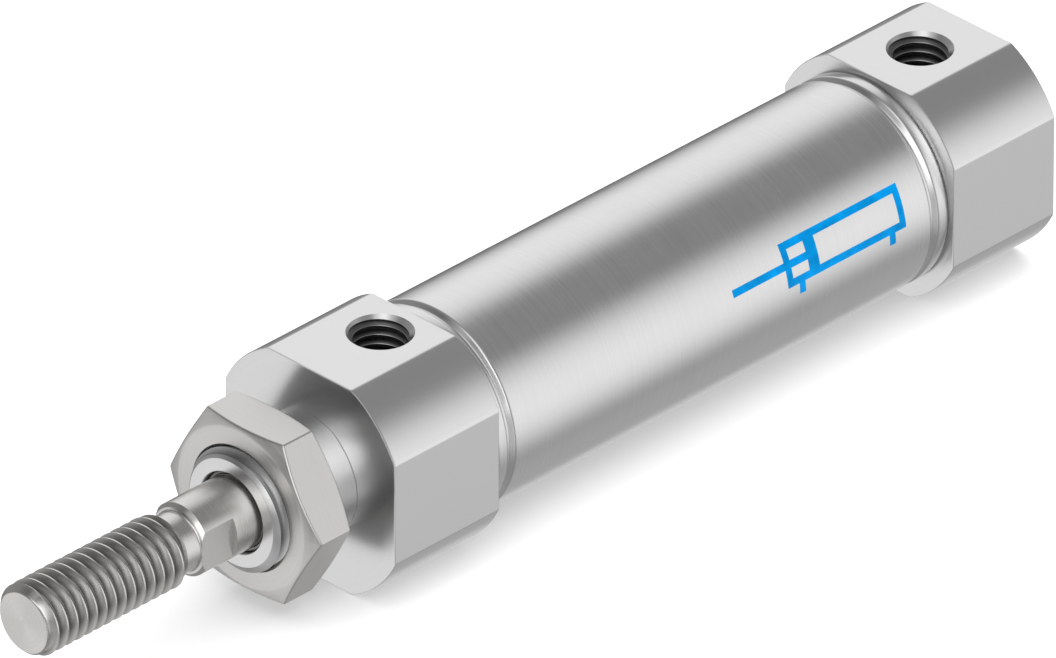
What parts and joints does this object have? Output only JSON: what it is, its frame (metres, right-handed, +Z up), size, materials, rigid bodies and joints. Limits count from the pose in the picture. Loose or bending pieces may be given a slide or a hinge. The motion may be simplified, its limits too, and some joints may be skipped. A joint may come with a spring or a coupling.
{
  "type": "pneumatic cylinder",
  "caption": "Double-acting round pneumatic cylinder with square ported end caps, a threaded mounting collar with a hexagon nut, and a sliding threaded piston rod.",
  "frame": {"origin": "under the middle of the whole length, on the plane of the caps' bottom flats, rod retracted", "axes": "+X the way the rod extends, +Z up through the ports, +Y to the left seen from the rod's end"},
  "size_m": [0.1012, 0.018, 0.018],
  "materials": {
    "cap_aluminium": "satin",
    "barrel_stainless": "brushed",
    "rod_steel": "satin",
    "nut_steel": "satin",
    "seal_rubber": "matte",
    "bumper_rubber": "matte",
    "bush_bronze": "matte",
    "piston_aluminium": "satin",
    "magnet_ferrite": "matte",
    "guide_plastic": "matte",
    "mark_ink": "satin"
  },
  "bodies": {
    "barrel": {"front_bearing_cap": "cap_aluminium", "rear_end_cap": "cap_aluminium", "cylinder_barrel": "barrel_stainless", "front_barrel_o_ring": "seal_rubber", "rear_barrel_o_ring": "seal_rubber", "rod_bearing_bush": "bush_bronze", "rod_seal": "seal_rubber", "rod_wiper": "seal_rubber", "front_bumper": "bumper_rubber", "rear_bumper": "bumper_rubber"},
    "piston_seals": {"front_piston_seal": "seal_rubber", "rear_piston_seal": "seal_rubber", "piston_guide_ring": "guide_plastic"},
    "rod": {"piston_rod": "rod_steel", "piston_front_half": "piston_aluminium", "piston_rear_half": "piston_aluminium", "piston_magnet": "magnet_ferrite", "piston_o_ring": "seal_rubber", "piston_nut": "nut_steel"},
    "nut": {"mounting_nut": "nut_steel"}
  },
  "joints": [
    {"name": "rod_slide", "type": "slide", "parent": "barrel", "child": "piston_seals", "axis": [1, 0, 0], "range_m": [0, 0.025]},
    {"name": "rod_spin", "type": "hinge", "parent": "piston_seals", "child": "rod", "pos_m": [0.02063, 0, 0.009], "axis": [1, 0, 0], "continuous": true},
    {"name": "nut_spin", "type": "hinge", "parent": "barrel", "child": "nut", "pos_m": [0.02593, 0, 0.009], "axis": [1, 0, 0], "continuous": true}
  ]
}
